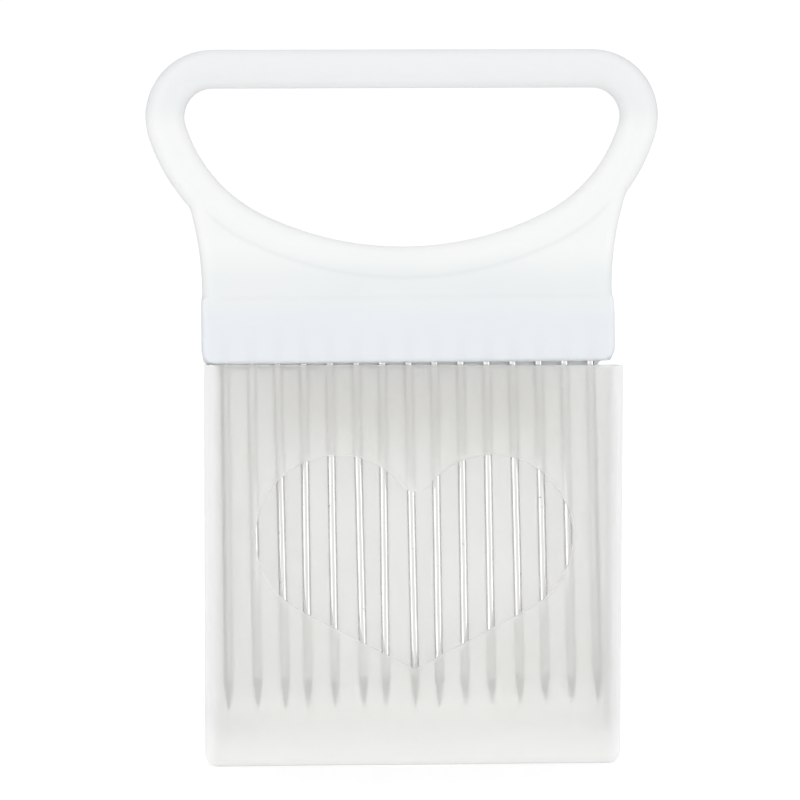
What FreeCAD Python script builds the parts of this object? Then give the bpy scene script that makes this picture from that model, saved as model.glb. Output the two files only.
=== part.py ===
"""Handheld pin comb that holds an onion, tomato or egg while it is sliced, standing in its sheath.

Pieces: handle (D-shaped grip, web and base in one moulding), fifteen steel pins moulded into the
base, and a frosted sheath with a heart-shaped window. Millimetres. +X is to the right, the front
faces -Y and +Z is up. The origin is the centre of the sheath's flat bottom.
"""

import FreeCAD, Part
import math
import os

from FreeCAD import Placement, Rotation, Vector

# ---- Sheath: an open-topped sleeve, wider at its mouth -------------------------------------------
SHEATH_HEIGHT = 77.35
SHEATH_MOUTH_WIDTH = 81.0
SHEATH_BOTTOM_WIDTH = 80.5
SHEATH_DEPTH = 9.0
SHEATH_WALL = 1.2
SHEATH_FLOOR = 1.6
SHEATH_CORNER_R = 2.4
SHEATH_EDGE_R = 1.7
SHEATH_LIP_R = 0.35

# ---- Heart window in the sheath's front wall -----------------------------------------------------
HEART_TIP_Z = 18.6
HEART_LOBE_X = 14.9
HEART_LOBE_Z = 44.2
HEART_LOBE_R = 15.8
HEART_CLEFT_R = 3.4
HEART_LIP_R = 0.25

# ---- Comb, in its own frame: z = 0 is the underside of the base, pins point down ------------------
BASE_WIDTH = 79.6
BASE_HEIGHT = 12.5
BASE_SHOULDER = 8.0
BASE_DEPTH = 9.0
BASE_CORNER_R = 2.4
BASE_EDGE_R = 1.2

# A rib under the base, behind the pins, that finds the sheath's mouth
RIB_WIDTH = 74.4
RIB_FRONT = 1.35
RIB_DEPTH = 1.5
RIB_DROP = 1.2

WEB_DEPTH = 6.0
WEB_WIDTH = 79.2
WEB_FLARE_START = 14.0
WEB_FLARE_R = 60.0
WEB_TOP = 37.0
WEB_EDGE_R = 2.4

GRIP_SHIFT_X = -0.6
GRIP_BOTTOM = 22.25
GRIP_TOP = 52.95
GRIP_HALF_WIDTH = 43.3
GRIP_BELLY_R = 62.0
GRIP_BELLY_HALF_ANGLE = 26.0
GRIP_CORNER_R = 5.5
RING_R = 3.65

# ---- Pins ----------------------------------------------------------------------------------------
PIN_R = 0.85
PIN_POINT_R = 0.1
PIN_PITCH = 5.07
PIN_REACH = 67.0
PIN_POINT_LENGTH = 5.4
PIN_HELD = 8.0
# How far the point of each pin has strayed to +X of its root, left to right
PIN_STRAY = (0.1, 0.7, 1.0, 0.3, 0.5, 1.0, 0.2, 0.9, 0.5, 0.5, 0.6, 1.1, 1.0, 1.1, 1.2)

# ---- How the comb sits in the sheath: a loose fit, so it leans a little to -X ----------------------
SEAT_LEAN = 0.62
SEAT_SHIFT_X = -1.05
SEAT_GAP = 0.55


def on_circle(centre, radius, degrees):
    """A point of a circle in the XZ plane, its centre given as (x, z)."""
    angle = math.radians(degrees)
    return Vector(centre[0] + radius * math.cos(angle), 0, centre[1] + radius * math.sin(angle))


def arc(centre, radius, start, end):
    """A circular edge in the XZ plane, from one angle to the other."""
    stops = (start, (start + end) / 2, end)
    return Part.Arc(*[on_circle(centre, radius, stop) for stop in stops]).toShape()


def line(start, end):
    return Part.LineSegment(start, end).toShape()


def mirrored(edges):
    """The same edges on the other side of the YZ plane."""
    return [edge.mirror(Vector(0, 0, 0), Vector(1, 0, 0)) for edge in edges]


def closed_wire(edges):
    return Part.Wire(Part.sortEdges(edges)[0])


def slab(outline, depth):
    """A plate of the given depth in Y, centred on the XZ plane."""
    face = Part.Face(outline)
    face.translate(Vector(0, -depth / 2, 0))
    return face.extrude(Vector(0, depth, 0))


def outline_edges(solid, depth, keep):
    """The edges around a slab's front and back faces that keep() accepts."""
    found = []
    for edge in solid.Edges:
        box = edge.BoundBox
        in_a_face = box.YLength < 1e-6 and abs(abs(box.YMin) - depth / 2) < 1e-6
        if in_a_face and keep(box):
            found.append(edge)
    return found


def tray_outline(bottom_z, top_z, bottom_width, top_width, corner_r):
    """A trapezium in the XZ plane whose two lower corners are rounded."""
    top_left, top_right = [Vector(x, 0, top_z) for x in (-top_width / 2, top_width / 2)]
    slope = math.degrees(math.atan2((top_width - bottom_width) / 2, top_z - bottom_z))
    setback = corner_r / math.tan(math.radians(90 + slope) / 2)
    centre = (bottom_width / 2 - setback, bottom_z + corner_r)
    corner = arc(centre, corner_r, -90, -slope)
    side = line(corner.Vertexes[-1].Point, top_right)
    foot = line(Vector(0, 0, bottom_z), corner.Vertexes[0].Point)
    right = [foot, corner, side]
    return closed_wire(right + mirrored(right) + [line(top_right, top_left)])


def heart_outline():
    """Two round lobes, a rounded cleft between them and straight flanks down to a point."""
    lobe = (HEART_LOBE_X, HEART_LOBE_Z)
    reach = HEART_LOBE_R + HEART_CLEFT_R
    cleft_rise = math.sqrt(reach**2 - HEART_LOBE_X**2)
    cleft_angle = math.degrees(math.atan2(cleft_rise, -HEART_LOBE_X))
    cleft = (0, HEART_LOBE_Z + cleft_rise)
    drop = HEART_LOBE_Z - HEART_TIP_Z
    flank_angle = math.degrees(
        math.atan2(drop, HEART_LOBE_X) - math.asin(HEART_LOBE_R / math.hypot(drop, HEART_LOBE_X))
    )
    right = [
        arc(cleft, HEART_CLEFT_R, -90, cleft_angle - 180),
        arc(lobe, HEART_LOBE_R, flank_angle - 90, cleft_angle),
    ]
    right.append(line(Vector(0, 0, HEART_TIP_Z), right[-1].Vertexes[0].Point))
    return closed_wire(right + mirrored(right))


def below_mouth(box):
    return box.ZMin < SHEATH_HEIGHT - 1


def below_shoulder(box):
    return box.ZMin < BASE_SHOULDER - 1e-3


def on_web_flank(box):
    return box.ZLength > 1 and min(abs(box.XMin), abs(box.XMax)) > WEB_WIDTH / 2 - 1e-3


def make_sheath():
    outer_wire = tray_outline(
        0, SHEATH_HEIGHT, SHEATH_BOTTOM_WIDTH, SHEATH_MOUTH_WIDTH, SHEATH_CORNER_R
    )
    outer = slab(outer_wire, SHEATH_DEPTH)
    outer = outer.makeFillet(SHEATH_EDGE_R, outline_edges(outer, SHEATH_DEPTH, below_mouth))

    wall = SHEATH_WALL
    cavity_wire = tray_outline(
        SHEATH_FLOOR,
        SHEATH_HEIGHT,
        SHEATH_BOTTOM_WIDTH - 2 * wall,
        SHEATH_MOUTH_WIDTH - 2 * wall,
        SHEATH_CORNER_R - wall,
    )
    cavity_depth = SHEATH_DEPTH - 2 * wall
    cavity = slab(cavity_wire, cavity_depth)
    cavity = cavity.makeFillet(
        SHEATH_EDGE_R - wall, outline_edges(cavity, cavity_depth, below_mouth)
    )
    sheath = outer.cut(cavity)
    at_mouth = [edge for edge in sheath.Edges if edge.BoundBox.ZMin > SHEATH_HEIGHT - 1e-6]
    sheath = sheath.makeFillet(SHEATH_LIP_R, at_mouth)

    window = Part.Face(heart_outline())
    window.translate(Vector(0, -SHEATH_DEPTH, 0))
    sheath = sheath.cut(window.extrude(Vector(0, SHEATH_DEPTH, 0)))
    front = -SHEATH_DEPTH / 2
    rim = [
        edge
        for edge in sheath.Edges
        if abs(edge.BoundBox.YMin - front) < 1e-6
        and edge.BoundBox.YLength < 1e-6
        and edge.BoundBox.XMin > -HEART_LOBE_X - HEART_LOBE_R - 1
        and edge.BoundBox.XMax < HEART_LOBE_X + HEART_LOBE_R + 1
    ]
    return sheath.makeFillet(HEART_LIP_R, rim)


def grip_loop(grow):
    """Closed outline of the grip opening, grown outwards by grow."""
    half_angle = GRIP_BELLY_HALF_ANGLE
    lean = math.radians(half_angle)
    flank_r = (GRIP_HALF_WIDTH - GRIP_BELLY_R * math.sin(lean)) / (1 - math.sin(lean))
    belly = (0, GRIP_BOTTOM + GRIP_BELLY_R)
    inset = GRIP_BELLY_R - flank_r
    flank = (inset * math.sin(lean), belly[1] - inset * math.cos(lean))
    corner_z = GRIP_TOP - GRIP_CORNER_R
    span = flank_r - GRIP_CORNER_R
    corner = (flank[0] + math.sqrt(span**2 - (corner_z - flank[1]) ** 2), corner_z)
    turn = math.degrees(math.asin((corner_z - flank[1]) / span))
    belly_arc = arc(belly, GRIP_BELLY_R + grow, -90 - half_angle, -90 + half_angle)
    right = [
        arc(flank, flank_r + grow, -90 + half_angle, turn),
        arc(corner, GRIP_CORNER_R + grow, turn, 90),
        line(Vector(corner[0], 0, GRIP_TOP + grow), Vector(0, 0, GRIP_TOP + grow)),
    ]
    loop = closed_wire([belly_arc] + right + mirrored(right))
    loop.translate(Vector(GRIP_SHIFT_X, 0, 0))
    return loop


def make_ring():
    """The round bar that runs all the way round the grip opening."""
    path = grip_loop(RING_R)
    first = path.OrderedEdges[0]
    start = first.valueAt(first.FirstParameter)
    section = Part.Wire(Part.makeCircle(RING_R, start, first.tangentAt(first.FirstParameter)))
    return path.makePipeShell([section], True, True)


def make_web():
    """The flat plate between the base and the ring, with flanks that flare up into the ring."""
    half = WEB_WIDTH / 2
    rise = math.degrees(math.asin((WEB_TOP - WEB_FLARE_START) / WEB_FLARE_R))
    flare = arc((half + WEB_FLARE_R, WEB_FLARE_START), WEB_FLARE_R, 180, 180 - rise)
    flare_end = flare.Vertexes[-1].Point
    right = [
        line(Vector(0, 0, 0), Vector(half, 0, 0)),
        line(Vector(half, 0, 0), Vector(half, 0, WEB_FLARE_START)),
        flare,
        line(flare_end, Vector(0, 0, WEB_TOP)),
    ]
    web = slab(closed_wire(right + mirrored(right)), WEB_DEPTH)
    web = web.makeFillet(WEB_EDGE_R, outline_edges(web, WEB_DEPTH, on_web_flank))
    return web.cut(slab(grip_loop(RING_R), BASE_DEPTH))


def make_base():
    """The thick bar along the web's foot that holds the pins. Its faces slope in to the web's."""
    wire = tray_outline(0, BASE_HEIGHT, BASE_WIDTH, BASE_WIDTH, BASE_CORNER_R)
    end = -BASE_WIDTH / 2
    front = [(BASE_DEPTH / 2, 0), (BASE_DEPTH / 2, BASE_SHOULDER), (WEB_DEPTH / 2, BASE_HEIGHT)]
    points = [Vector(end, y, z) for y, z in front]
    points += [Vector(end, -y, z) for y, z in reversed(front)]
    section = Part.Face(Part.makePolygon(points + points[:1]))
    base = slab(wire, BASE_DEPTH).common(section.extrude(Vector(BASE_WIDTH, 0, 0)))
    return base.makeFillet(BASE_EDGE_R, outline_edges(base, BASE_DEPTH, below_shoulder))


def make_rib():
    """The rib that drops into the sheath's mouth behind the pins."""
    corner = Vector(-RIB_WIDTH / 2, RIB_FRONT, -RIB_DROP)
    return Part.makeBox(RIB_WIDTH, RIB_DEPTH, RIB_DROP + BASE_EDGE_R, corner)


def make_pin(root_x, stray):
    """A straight ground pin. Its upper end is held in the base and its point hangs below."""
    root = Vector(root_x, 0, 0)
    down = Vector(stray, 0, -PIN_REACH).normalize()
    top = root - down * PIN_HELD
    length = math.hypot(stray, PIN_REACH)
    shank = Part.makeCylinder(PIN_R, PIN_HELD + length - PIN_POINT_LENGTH, top, down)
    shoulder = root + down * (length - PIN_POINT_LENGTH)
    point = Part.makeCone(PIN_R, PIN_POINT_R, PIN_POINT_LENGTH, shoulder, down)
    return shank.fuse(point).removeSplitter()


def make_comb():
    """The handle and its pins, by node name, in the comb's own frame."""
    middle = (len(PIN_STRAY) - 1) / 2
    pins = {}
    for number, stray in enumerate(PIN_STRAY):
        pins[f"pin_{number + 1:02d}"] = make_pin((number - middle) * PIN_PITCH, stray)
    handle = make_ring().fuse([make_web(), make_base(), make_rib()]).removeSplitter()
    handle = handle.cut(list(pins.values()))
    return {"handle": handle, **pins}


def main():
    seat = Placement(
        Vector(SEAT_SHIFT_X, 0, SHEATH_HEIGHT + SEAT_GAP), Rotation(Vector(0, 1, 0), -SEAT_LEAN)
    )
    nodes = {"sheath": make_sheath()}
    for name, shape in make_comb().items():
        shape.Placement = seat.multiply(shape.Placement)
        nodes[name] = shape

    os.makedirs("parts", exist_ok=True)
    for name, shape in nodes.items():
        solid = shape.Solids[0]
        if len(shape.Solids) != 1 or not solid.isValid():
            raise ValueError(f"{name} is not one valid solid")
        solid.exportStep(f"parts/{name}.step")
        box = solid.BoundBox
        print(
            f"{name:8s} volume {solid.Volume:9.2f}  x {box.XMin:7.2f} {box.XMax:7.2f}"
            f"  y {box.YMin:6.2f} {box.YMax:6.2f}  z {box.ZMin:7.2f} {box.ZMax:7.2f}"
        )


main()
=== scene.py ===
"""Looks for the handheld pin comb in its frosted sheath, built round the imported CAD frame."""

import math

import bmesh
import bpy
import numpy as np
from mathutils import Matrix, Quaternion, Vector


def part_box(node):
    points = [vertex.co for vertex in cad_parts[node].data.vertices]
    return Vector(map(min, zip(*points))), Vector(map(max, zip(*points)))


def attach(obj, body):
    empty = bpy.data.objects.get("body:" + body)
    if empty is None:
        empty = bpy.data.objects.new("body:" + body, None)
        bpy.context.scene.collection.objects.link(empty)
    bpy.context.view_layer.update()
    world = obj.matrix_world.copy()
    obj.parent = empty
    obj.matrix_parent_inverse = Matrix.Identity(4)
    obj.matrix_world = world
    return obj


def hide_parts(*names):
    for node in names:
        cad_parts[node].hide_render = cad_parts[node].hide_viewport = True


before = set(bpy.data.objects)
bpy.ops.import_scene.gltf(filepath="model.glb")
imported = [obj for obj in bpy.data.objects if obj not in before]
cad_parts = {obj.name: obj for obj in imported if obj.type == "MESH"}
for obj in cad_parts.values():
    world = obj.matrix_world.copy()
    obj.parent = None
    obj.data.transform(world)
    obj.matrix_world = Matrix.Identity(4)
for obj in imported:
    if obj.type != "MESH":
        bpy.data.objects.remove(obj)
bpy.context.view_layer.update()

MM = 0.001
PIN_NODES = sorted(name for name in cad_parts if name.startswith("pin_"))
SHEATH_HALF_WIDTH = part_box("sheath")[1].x
HANDLE_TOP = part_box("handle")[1].z

# ---- Camera: a little to the left of the object and just above its middle --------------------------
CAMERA_AZIMUTH = -4.45
CAMERA_ELEVATION = 1.85
CAMERA_ROLL = 0.14
CAMERA_DISTANCE = 600 * MM
CAMERA_AIM = Vector((-2.64, 0, 70.5)) * MM
VIEW_WIDTH = 155.0 * MM
SENSOR_WIDTH = 36.0

# ---- Studio -----------------------------------------------------------------------------------------
FLOOR_RADIUS = 6.0
FLOOR_GLOW = 0.40
FLOOR_TONES = ((0.63, 0.63, 0.63), (0.64, 0.64, 0.64))
# Area lights: name, place in metres, side in metres, power in watts
LIGHTS = (
    ("key", (-0.55, -0.8, 0.75), 0.7, 0.32),
    ("fill", (0.75, -0.7, 0.45), 0.8, 0.12),
)
WORLD_STRENGTH = 1.04
# What a mirror sees round the horizon: degrees to the right of straight ahead, and share of the peak
REFLECTED_TONES = (
    (-180, 0.35), (-152, 0.02), (-90, 0.04), (-78, 0.45), (-66, 1.0), (-40, 1.0), (-28, 0.62), (0, 0.64),
    (28, 0.56), (40, 1.0), (60, 1.0), (74, 0.45), (90, 0.12), (152, 0.10), (180, 0.35),
)
REFLECTED_PEAK = 1.36

# ---- Handle -----------------------------------------------------------------------------------------
HANDLE_VOXEL = 0.42 * MM
HANDLE_SMOOTH_STEPS = 8
HANDLE_SWELL = 0.10 * MM
PLUG_R = 1.2 * MM
PLUG_COVER = 0.6 * MM
PLUG_SIDES = 16

# Tones of the white plastic, their strengths, and where each begins and ends above the base's underside; some
# of them are painted light and shade, as marked
WEB_TONES = ((0.790, 0.820, 0.832), (0.814, 0.834, 0.833))
# The ring is lighter than the web: partly painted light from above, partly its thicker, more opaque white
# plastic
RING_TONE_AND_PAINTED_LIGHT = (0.870, 0.884, 0.876)
RING_RISE = (15.0 * MM, 23.0 * MM)
# The base is made darker and bluer towards its underside
BASE_TONE = (0.764, 0.796, 0.842)
BASE_FADE = (8.0 * MM, 13.0 * MM)
BASE_SHARE = 0.7
ROOT_TONE = (0.60, 0.63, 0.66)
ROOT_FADE = (1.0 * MM, 8.4 * MM)
ROOT_SHARE = 0.09
# A root's grey stripe fades out between these distances from the pin, in shares of the pitch
ROOT_STRIPE = (0.10, 0.30)
# Painted shade: the crease where the ring meets the web is laid in darker
CREASE_PAINTED_SHADE = (0.66, 0.70, 0.69)
CREASE_SHADE_SHARE = 0.9
# The painted shade in the hollow crease fades out between these values of Pointiness, from hollow to nearly
# flat
CREASE_SHADE_POINTINESS = (0.475, 0.498)
# Painted shade on the top bar, darker than the tubes, and how far below the handle's top it begins and
# reaches full strength
BAR_PAINTED_SHADE = (0.812, 0.826, 0.832)
BAR_SHADE_DROP = (17.0 * MM, 10.0 * MM)

# ---- Sheath: clearest in its front wall, hazier at the back wall, the flanks and the floor ------------
FRONT_CLEARNESS = 0.86
BACK_CLEARNESS = 0.56
BACK_WALL_Y = (2.6 * MM, 3.2 * MM)
FLANK_HAZE_INSET = (3.3 * MM, 0.5 * MM)
FLOOR_HAZE_Z = (1.0 * MM, 11.0 * MM)
# The share of the clearness that is left at the flanks and at the floor
FLANK_SHARE = 0.25
FLOOR_SHARE = 0.15
# Tints of the frosted plastic, and where each begins and ends; insets are measured from the flanks. Past a
# random tone, these are painted light and shade: painted light at the foot and the flanks, where no pin shade
# falls, and painted shade near the mouth, along the side edges and along the bottom
WALL_TINTS = ((0.950, 0.949, 0.938), (0.965, 0.964, 0.957))
# Painted light: the foot below the pin points is made lighter, as no pin shade falls there
FOOT_PAINTED_LIGHT = (0.988, 0.987, 0.978)
FOOT_LIGHT_Z = (7.0 * MM, 18.0 * MM)
# Painted shade: a darker band along the sheath's bottom
SHEATH_FLOOR_PAINTED_SHADE = (0.905, 0.903, 0.893)
SHEATH_FLOOR_SHADE_Z = (0.5 * MM, 7.0 * MM)
# Painted shade inside the mouth, where the handle keeps light out
MOUTH_PAINTED_SHADE = (0.900, 0.897, 0.885)
MOUTH_SHADE_Z = (56.0 * MM, 72.0 * MM)
MOUTH_SHADE_INSET = (20.5 * MM, 2.5 * MM)
# Painted light: the flanks beside the pin row are made lighter, as no pin shade falls there
FLANK_PAINTED_LIGHT = (0.990, 0.990, 0.988)
FLANK_LIGHT_INSET = (4.5 * MM, 2.5 * MM)
# Painted shade: a darker band right along the rounded side edges
EDGE_PAINTED_SHADE = (0.935, 0.937, 0.937)
EDGE_SHADE_INSET = (2.0 * MM, 0.3 * MM)

# ---- Pins -------------------------------------------------------------------------------------------
PIN_R = 0.85 * MM
PIN_HELD = 8.0 * MM
PIN_POINT_LENGTH = 5.4 * MM
PIN_POINT_R = 0.1 * MM
PIN_END_CHAMFER = 0.12 * MM
PIN_SIDES = 40
CONE_STEPS = 16
CONE_BELLY = 0.03 * MM
SHANK_STEPS = 24
STEEL_TONES = ((0.84, 0.84, 0.83), (0.91, 0.91, 0.905))
NICK_TONE = (0.42, 0.42, 0.43)
# Painted shade: the point's colour is darkened, standing in for the dark it reflects and the shade under it
POINT_PAINTED_SHADE = (0.50, 0.50, 0.495)
POINT_SHADE_SHARE = 0.6
# How far the dull ground finish and the painted shade on the point fade below and above the shoulder of the
# point
POINT_GRIND_AND_SHADE_FADE = (1.6 * MM, 1.2 * MM)


# ---- Material helpers -------------------------------------------------------------------------------
class Recipe:
    """A new material with its Principled node, and short calls that add nodes to it."""

    def __init__(self, name):
        self.material = bpy.data.materials.new(name)
        self.material.use_nodes = True
        self.tree = self.material.node_tree
        self.shader = self.tree.nodes["Principled BSDF"]
        self.place = self.tree.nodes.new("ShaderNodeTexCoord").outputs["Object"]

    def link(self, source, target):
        self.tree.links.new(source, target)

    def feed(self, socket, value):
        if isinstance(value, bpy.types.NodeSocket):
            self.link(value, socket)
        else:
            socket.default_value = value

    def set(self, **values):
        """Puts constants or node outputs on the shader's sockets; Base_Color means Base Color."""
        for name, value in values.items():
            self.feed(self.shader.inputs[name.replace("_", " ")], value)

    def stretched(self, x=1.0, y=1.0, z=1.0):
        """Object coordinates scaled along each axis."""
        node = self.tree.nodes.new("ShaderNodeMapping")
        node.inputs["Scale"].default_value = (x, y, z)
        self.link(self.place, node.inputs["Vector"])
        return node.outputs["Vector"]

    def noise(self, scale, detail=2.0, roughness=0.5, where=None):
        node = self.tree.nodes.new("ShaderNodeTexNoise")
        node.inputs["Scale"].default_value = scale
        node.inputs["Detail"].default_value = detail
        node.inputs["Roughness"].default_value = roughness
        self.link(where or self.place, node.inputs["Vector"])
        return node.outputs["Fac"]

    def axis(self, name):
        node = self.tree.nodes.new("ShaderNodeSeparateXYZ")
        self.link(self.place, node.inputs["Vector"])
        return node.outputs[name]

    def math(self, operation, first, second=0.0):
        node = self.tree.nodes.new("ShaderNodeMath")
        node.operation = operation
        self.feed(node.inputs[0], first)
        self.feed(node.inputs[1], second)
        return node.outputs["Value"]

    def ranged(self, value, start, end, low=0.0, high=1.0):
        """Maps start..end smoothly to low..high."""
        node = self.tree.nodes.new("ShaderNodeMapRange")
        node.interpolation_type = "SMOOTHSTEP"
        self.link(value, node.inputs["Value"])
        for socket, number in zip(("From Min", "From Max", "To Min", "To Max"), (start, end, low, high)):
            node.inputs[socket].default_value = number
        return node.outputs["Result"]

    def mix(self, factor, first, second):
        node = self.tree.nodes.new("ShaderNodeMix")
        node.data_type = "RGBA"
        named = {"Factor": factor, "A": first, "B": second}
        for socket in node.inputs:
            if socket.enabled and socket.name in named:
                self.feed(socket, named[socket.name])
        return next(socket for socket in node.outputs if socket.enabled)

    def bump(self, height, strength, distance, under=None):
        node = self.tree.nodes.new("ShaderNodeBump")
        node.inputs["Strength"].default_value = strength
        node.inputs["Distance"].default_value = distance
        self.link(height, node.inputs["Height"])
        if under:
            self.link(under, node.inputs["Normal"])
        return node.outputs["Normal"]


def rgb(red, green, blue):
    return (red, green, blue, 1.0)


def white_plastic(pin_tops):
    """Milky white polypropylene: a pearly bloom, and the pins' roots faintly grey inside the base. The crease
    under the ring and the top bar are darkened as painted shade, and the ring is lighter, partly painted
    light and partly its thicker white plastic.
    """
    recipe = Recipe("white_polypropylene")
    cloud = recipe.ranged(recipe.noise(45, 3), 0.35, 0.65)
    tint = recipe.mix(cloud, rgb(*WEB_TONES[0]), rgb(*WEB_TONES[1]))
    height = recipe.axis("Z")
    underside = pin_tops[0].z - PIN_HELD
    # The ring is made lighter: partly painted light, partly its thicker white plastic
    ring_tone_and_light = recipe.ranged(height, underside + RING_RISE[0], underside + RING_RISE[1])
    tint = recipe.mix(ring_tone_and_light, tint, rgb(*RING_TONE_AND_PAINTED_LIGHT))
    # Painted shade: the top bar is made darker than the ring's tubes
    bar_shade = recipe.ranged(height, HANDLE_TOP - BAR_SHADE_DROP[0], HANDLE_TOP - BAR_SHADE_DROP[1])
    tint = recipe.mix(bar_shade, tint, rgb(*BAR_PAINTED_SHADE))
    in_base = recipe.ranged(height, underside + BASE_FADE[0], underside + BASE_FADE[1], 1.0, 0.0)
    tint = recipe.mix(recipe.math("MULTIPLY", in_base, BASE_SHARE), tint, rgb(*BASE_TONE))

    first, last = pin_tops[0], pin_tops[-1]
    pitch = (last.x - first.x) / (len(pin_tops) - 1)
    steps = recipe.math("DIVIDE", recipe.math("SUBTRACT", recipe.axis("X"), first.x), pitch)
    off_pin = recipe.math("ABSOLUTE", recipe.math("SUBTRACT", steps, recipe.math("ROUND", steps)))
    stripe = recipe.ranged(off_pin, *ROOT_STRIPE, 1.0, 0.0)
    held = recipe.ranged(height, underside + ROOT_FADE[0], underside + ROOT_FADE[1], 1.0, 0.0)
    seen = recipe.math("MULTIPLY", stripe, held)
    tint = recipe.mix(recipe.math("MULTIPLY", seen, ROOT_SHARE), tint, rgb(*ROOT_TONE))

    # Painted shade: the hollow crease under the ring is darkened
    pointed = recipe.tree.nodes.new("ShaderNodeNewGeometry").outputs["Pointiness"]
    crease_shade = recipe.ranged(pointed, *CREASE_SHADE_POINTINESS, 1.0, 0.0)
    tint = recipe.mix(recipe.math("MULTIPLY", crease_shade, CREASE_SHADE_SHARE), tint, rgb(*CREASE_PAINTED_SHADE))
    grain = recipe.noise(2600, 2)
    flow = recipe.noise(60, 2, where=recipe.stretched(1.0, 1.0, 0.35))
    relief = recipe.bump(grain, 0.10, 0.03 * MM, recipe.bump(flow, 0.10, 0.35 * MM))
    scuff = recipe.noise(300, 4, 0.65, where=recipe.stretched(0.3, 1.0, 1.0))
    recipe.set(
        Base_Color=tint,
        Roughness=recipe.ranged(scuff, 0.3, 0.75, 0.30, 0.46),
        IOR=1.49,
        Subsurface_Weight=0.18,
        Subsurface_Radius=(1.0, 0.95, 0.9),
        Subsurface_Scale=1.6 * MM,
        Normal=relief,
    )
    return recipe.material


def frosted_plastic():
    """Frosted clear polypropylene: a fine etched grain that blurs whatever lies behind it. Its tint is
    painted lighter at the foot and the flanks and darker near the mouth, along the side edges and along the
    bottom, as painted light and shade.
    """
    recipe = Recipe("frosted_polypropylene")
    height = recipe.axis("Z")
    off_middle = recipe.math("ABSOLUTE", recipe.axis("X"))

    def near_flank(inset, low=0.0, high=1.0):
        start, end = [SHEATH_HALF_WIDTH - distance for distance in inset]
        return recipe.ranged(off_middle, start, end, low, high)

    clear = recipe.ranged(recipe.axis("Y"), *BACK_WALL_Y, FRONT_CLEARNESS, BACK_CLEARNESS)
    flank = near_flank(FLANK_HAZE_INSET, 1.0, FLANK_SHARE)
    foot = recipe.ranged(height, *FLOOR_HAZE_Z, FLOOR_SHARE, 1.0)
    clear = recipe.math("MULTIPLY", clear, recipe.math("MULTIPLY", flank, foot))

    cloud = recipe.ranged(recipe.noise(70, 3), 0.3, 0.7)
    tint = recipe.mix(cloud, rgb(*WALL_TINTS[0]), rgb(*WALL_TINTS[1]))
    # Painted light: lighter at the foot, below the pin points
    tint = recipe.mix(recipe.ranged(height, *FOOT_LIGHT_Z, 1.0, 0.0), tint, rgb(*FOOT_PAINTED_LIGHT))
    # Painted shade: darker near the mouth, away from the flanks
    mouth_shade = recipe.ranged(height, *MOUTH_SHADE_Z)
    mouth_shade = recipe.math("MULTIPLY", mouth_shade, near_flank(MOUTH_SHADE_INSET, 1.0, 0.0))
    tint = recipe.mix(mouth_shade, tint, rgb(*MOUTH_PAINTED_SHADE))
    # Painted light: lighter at the flanks, beside the pin row
    tint = recipe.mix(near_flank(FLANK_LIGHT_INSET), tint, rgb(*FLANK_PAINTED_LIGHT))
    # Painted shade: darker right at the side edges
    tint = recipe.mix(near_flank(EDGE_SHADE_INSET), tint, rgb(*EDGE_PAINTED_SHADE))
    # Painted shade: darker along the bottom of the sheath
    tint = recipe.mix(recipe.ranged(height, *SHEATH_FLOOR_SHADE_Z, 1.0, 0.0), tint, rgb(*SHEATH_FLOOR_PAINTED_SHADE))

    grain = recipe.noise(3800, 2)
    waves = recipe.noise(90, 2)
    recipe.set(
        Base_Color=tint,
        Roughness=recipe.ranged(recipe.noise(500, 3), 0.3, 0.7, 0.60, 0.68),
        IOR=1.11,
        Transmission_Weight=clear,
        Normal=recipe.bump(grain, 0.16, 0.02 * MM, recipe.bump(waves, 0.12, 0.3 * MM)),
    )
    return recipe.material


def ground_steel(point_top):
    """Drawn and polished stainless wire: fine lines along it, small nicks, and a duller ground point whose
    darker colour is painted shade.
    """
    recipe = Recipe("drawn_steel")
    lines = recipe.noise(900, 2, 0.5, where=recipe.stretched(8.0, 8.0, 0.08))
    nicks = recipe.noise(700, 4, 0.7)
    marks = recipe.noise(2200, 2, where=recipe.stretched(0.3, 0.3, 2.2))
    below, above = POINT_GRIND_AND_SHADE_FADE
    point_grind_and_shade = recipe.ranged(recipe.axis("Z"), point_top - below, point_top + above, 1.0, 0.0)
    tone = recipe.mix(recipe.ranged(lines, 0.35, 0.65), rgb(*STEEL_TONES[0]), rgb(*STEEL_TONES[1]))
    tone = recipe.mix(recipe.ranged(nicks, 0.66, 0.74), tone, rgb(*NICK_TONE))
    # Painted shade: the point is darkened; its duller roughness below is the ground finish
    tone = recipe.mix(recipe.math("MULTIPLY", point_grind_and_shade, POINT_SHADE_SHARE), tone, rgb(*POINT_PAINTED_SHADE))
    plain = recipe.ranged(nicks, 0.35, 0.70, 0.09, 0.18)
    dull = recipe.math("MULTIPLY", point_grind_and_shade, recipe.ranged(marks, 0.3, 0.7, 0.06, 0.18))
    relief = recipe.bump(nicks, 0.05, 0.02 * MM, recipe.bump(lines, 0.05, 0.01 * MM))
    recipe.set(
        Base_Color=tone,
        Metallic=1.0,
        Roughness=recipe.math("ADD", plain, dull),
        Normal=relief,
    )
    return recipe.material


def floor_paint():
    """A matt white light table, which keeps the shadow under the object faint."""
    recipe = Recipe("studio_white")
    cloud = recipe.noise(3, 3)
    recipe.set(
        Base_Color=recipe.mix(cloud, rgb(*FLOOR_TONES[0]), rgb(*FLOOR_TONES[1])),
        Roughness=0.9,
        Specular_IOR_Level=0.1,
        Emission_Color=rgb(1.0, 1.0, 1.0),
        Emission_Strength=FLOOR_GLOW,
    )
    return recipe.material


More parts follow.
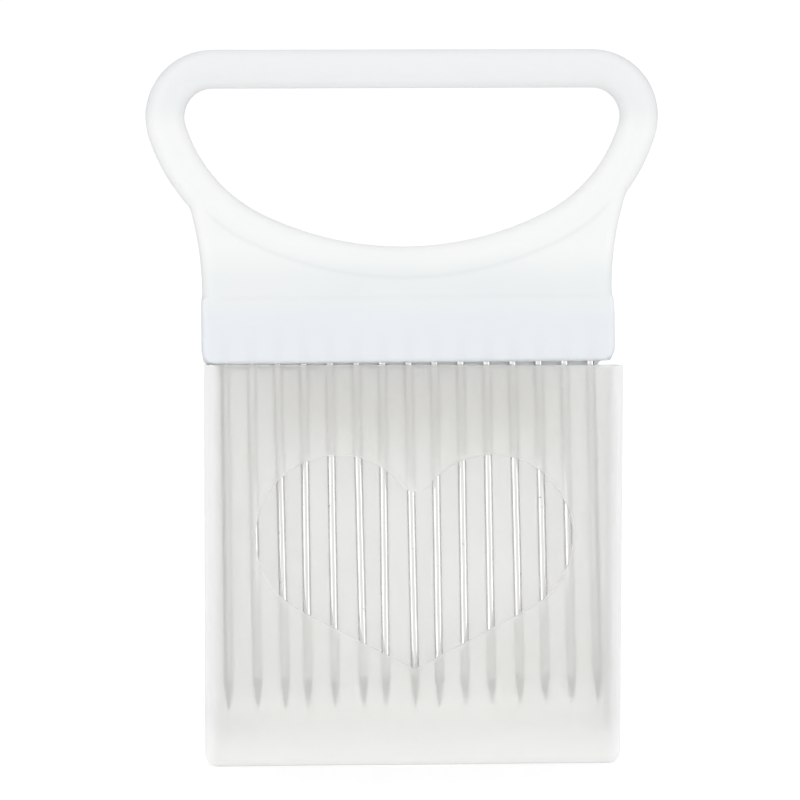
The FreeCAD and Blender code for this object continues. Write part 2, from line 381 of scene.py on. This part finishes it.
# ---- Mesh helpers -----------------------------------------------------------------------------------
def new_piece(name, mesh, material):
    piece = bpy.data.objects.new(name, mesh)
    bpy.context.scene.collection.objects.link(piece)
    mesh.materials.clear()
    mesh.materials.append(material)
    mesh.polygons.foreach_set("use_smooth", [True] * len(mesh.polygons))
    return piece


def dress(node, material):
    """Gives a CAD node a new material in all its slots."""
    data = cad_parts[node].data
    if not data.materials:
        data.materials.append(material)
    for index in range(len(data.materials)):
        data.materials[index] = material


def node_ends(node):
    """The middle of a CAD node's top face and of its bottom end."""
    points = np.array([vertex.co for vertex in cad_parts[node].data.vertices])
    heights = points[:, 2]
    top = points[heights > heights.max() - 0.05 * MM].mean(axis=0)
    bottom = points[heights < heights.min() + 0.02 * MM].mean(axis=0)
    return Vector(top), Vector(bottom)


def lathe(name, foot, head, profile, sides):
    """A closed solid of revolution on the line foot..head; profile lists (distance from the foot, radius)."""
    up = (head - foot).normalized()
    across = up.cross(Vector((0, 1, 0))).normalized()
    aside = up.cross(across)
    shape = bmesh.new()
    rings = []
    for along, radius in profile:
        ring = []
        for side in range(sides):
            turn = 2 * math.pi * side / sides
            ring.append(shape.verts.new(
                foot + up * along + (across * math.cos(turn) + aside * math.sin(turn)) * radius
            ))
        rings.append(ring)
    for lower, upper in zip(rings, rings[1:]):
        for side in range(sides):
            after = (side + 1) % sides
            shape.faces.new((lower[side], lower[after], upper[after], upper[side]))
    shape.faces.new(rings[0])
    shape.faces.new(rings[-1])
    bmesh.ops.recalc_face_normals(shape, faces=shape.faces)
    mesh = bpy.data.meshes.new(name)
    shape.to_mesh(mesh)
    shape.free()
    return mesh


# ---- Handle -----------------------------------------------------------------------------------------
def handle_body(ends, material):
    """The CAD handle with its pin holes filled, its creases softened and its faces made even."""
    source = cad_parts["handle"].data.copy()
    shape = bmesh.new()
    shape.from_mesh(source)
    for head, foot in ends:
        down = (foot - head).normalized()
        profile = [(0, PLUG_R), (PIN_HELD + PLUG_COVER, PLUG_R)]
        plug = lathe("plug", head + down * PIN_HELD, head - down * PLUG_COVER, profile, PLUG_SIDES)
        shape.from_mesh(plug)
    shape.to_mesh(source)
    shape.free()
    rough = bpy.data.objects.new("handle_rough", source)
    bpy.context.scene.collection.objects.link(rough)
    remesh = rough.modifiers.new("even", "REMESH")
    remesh.mode = "VOXEL"
    remesh.voxel_size = HANDLE_VOXEL
    smooth = rough.modifiers.new("soft", "SMOOTH")
    smooth.factor = 0.5
    smooth.iterations = HANDLE_SMOOTH_STEPS
    swell = rough.modifiers.new("swell", "DISPLACE")
    swell.strength = HANDLE_SWELL
    swell.mid_level = 0.0
    bpy.context.view_layer.update()
    evaluated = rough.evaluated_get(bpy.context.evaluated_depsgraph_get())
    mesh = bpy.data.meshes.new_from_object(evaluated)
    bpy.data.objects.remove(rough)
    mesh.name = "handle_moulding"
    piece = new_piece("handle_moulding", mesh, material)
    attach(piece, "comb")
    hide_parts("handle")
    return piece


# ---- Pins -------------------------------------------------------------------------------------------
def pin_profile(length):
    """Distances from the tip and radii: a rounded tip, a ground cone with a soft shoulder, a shank."""
    profile = [(0.0, PIN_POINT_R * 0.4), (0.03 * MM, PIN_POINT_R * 0.8), (0.09 * MM, PIN_POINT_R * 1.15)]
    for step in range(1, CONE_STEPS):
        share = step / CONE_STEPS
        belly = CONE_BELLY * math.sin(math.pi * share)
        profile.append((PIN_POINT_LENGTH * share, PIN_POINT_R + (PIN_R - PIN_POINT_R) * share + belly))
    shank_length = length - PIN_END_CHAMFER - PIN_POINT_LENGTH
    for step in range(SHANK_STEPS + 1):
        share = step / SHANK_STEPS
        profile.append((PIN_POINT_LENGTH + shank_length * share, PIN_R))
    return profile + [(length, PIN_R - PIN_END_CHAMFER)]


def steel_pin(node, head, foot, material):
    length = (head - foot).length
    mesh = lathe(node + "_ground", foot, head, pin_profile(length), PIN_SIDES)
    piece = new_piece(node + "_ground", mesh, material)
    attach(piece, "comb")
    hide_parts(node)
    return piece


# ---- Studio -----------------------------------------------------------------------------------------
def make_world():
    """Even white light all round. Mirror-like reflections see a dimmer front, two bright side banks
    and a dark far side, which is what draws the edges of polished wire."""
    world = bpy.data.worlds.new("studio")
    bpy.context.scene.world = world
    world.use_nodes = True
    tree = world.node_tree

    def node(kind, operation=None, **values):
        """Adds a node; _0, _1 and so on give its inputs a constant or another node's output."""
        made = tree.nodes.new(kind)
        if operation:
            made.operation = operation
        for index, value in values.items():
            socket = made.inputs[int(index[1:])]
            if isinstance(value, bpy.types.NodeSocket):
                tree.links.new(value, socket)
            else:
                socket.default_value = value
        return made

    place = node("ShaderNodeTexCoord").outputs["Generated"]
    split = node("ShaderNodeSeparateXYZ", _0=place)
    ahead = node("ShaderNodeMath", "MULTIPLY", _0=split.outputs["Y"], _1=-1.0).outputs[0]
    angle = node("ShaderNodeMath", "ARCTAN2", _0=split.outputs["X"], _1=ahead).outputs[0]
    turns = node("ShaderNodeMath", "DIVIDE", _0=angle, _1=2 * math.pi).outputs[0]
    share = node("ShaderNodeMath", "ADD", _0=turns, _1=0.5).outputs[0]
    ramp = node("ShaderNodeValToRGB", _0=share)
    ramp.color_ramp.interpolation = "EASE"
    elements = ramp.color_ramp.elements
    for degrees, tone in REFLECTED_TONES[1:-1]:
        elements.new(degrees / 360 + 0.5)
    in_order = sorted(elements, key=lambda element: element.position)
    for element, (degrees, tone) in zip(in_order, REFLECTED_TONES):
        element.color = rgb(tone, tone, tone)
    banks = node("ShaderNodeMath", "MULTIPLY", _0=ramp.outputs["Color"], _1=REFLECTED_PEAK).outputs[0]
    depth = node("ShaderNodeLightPath").outputs["Glossy Depth"]
    mirrored = node("ShaderNodeMath", "GREATER_THAN", _0=depth, _1=0.5).outputs[0]
    plain = node("ShaderNodeMath", "SUBTRACT", _0=1.0, _1=mirrored).outputs[0]
    part = node("ShaderNodeMath", "MULTIPLY", _0=banks, _1=mirrored).outputs[0]
    tone = node("ShaderNodeMath", "ADD", _0=part, _1=plain).outputs[0]
    strength = node("ShaderNodeMath", "MULTIPLY", _0=tone, _1=WORLD_STRENGTH).outputs[0]
    tree.links.new(strength, tree.nodes["Background"].inputs["Strength"])
    tree.nodes["Background"].inputs["Color"].default_value = rgb(1.0, 1.0, 1.0)


def make_floor():
    bpy.ops.mesh.primitive_circle_add(vertices=96, radius=FLOOR_RADIUS, fill_type="NGON")
    floor = bpy.context.object
    floor.name = "studio_floor"
    floor.data.materials.append(floor_paint())
    floor.visible_glossy = False


def soft_light(name, where, size, power):
    """A square area light that looks at the object's middle."""
    data = bpy.data.lights.new(name, "AREA")
    data.size = size
    data.energy = power
    lamp = bpy.data.objects.new(name, data)
    bpy.context.scene.collection.objects.link(lamp)
    lamp.location = where
    lamp.rotation_mode = "QUATERNION"
    lamp.rotation_quaternion = (lamp.location - CAMERA_AIM).to_track_quat("Z", "Y")


def make_camera():
    azimuth, elevation = math.radians(CAMERA_AZIMUTH), math.radians(CAMERA_ELEVATION)
    back = Vector((
        math.sin(azimuth) * math.cos(elevation),
        -math.cos(azimuth) * math.cos(elevation),
        math.sin(elevation),
    ))
    data = bpy.data.cameras.new("camera")
    data.sensor_width = SENSOR_WIDTH
    data.lens = SENSOR_WIDTH * CAMERA_DISTANCE / VIEW_WIDTH
    data.clip_start = 0.01
    camera = bpy.data.objects.new("camera", data)
    bpy.context.scene.collection.objects.link(camera)
    camera.location = CAMERA_AIM + back * CAMERA_DISTANCE
    camera.rotation_mode = "QUATERNION"
    roll = Quaternion((0, 0, 1), math.radians(CAMERA_ROLL))
    camera.rotation_quaternion = back.to_track_quat("Z", "Y") @ roll
    bpy.context.scene.camera = camera


# ---- The scene --------------------------------------------------------------------------------------
PIN_ENDS = [node_ends(node) for node in PIN_NODES]
make_camera()
make_world()
make_floor()
for lamp in LIGHTS:
    soft_light(*lamp)
bpy.context.scene.view_settings.view_transform = "Standard"

handle_body(PIN_ENDS, white_plastic([head for head, foot in PIN_ENDS]))
steel = ground_steel(max(foot.z for head, foot in PIN_ENDS) + PIN_POINT_LENGTH)
for node, (head, foot) in zip(PIN_NODES, PIN_ENDS):
    steel_pin(node, head, foot, steel)
dress("sheath", frosted_plastic())
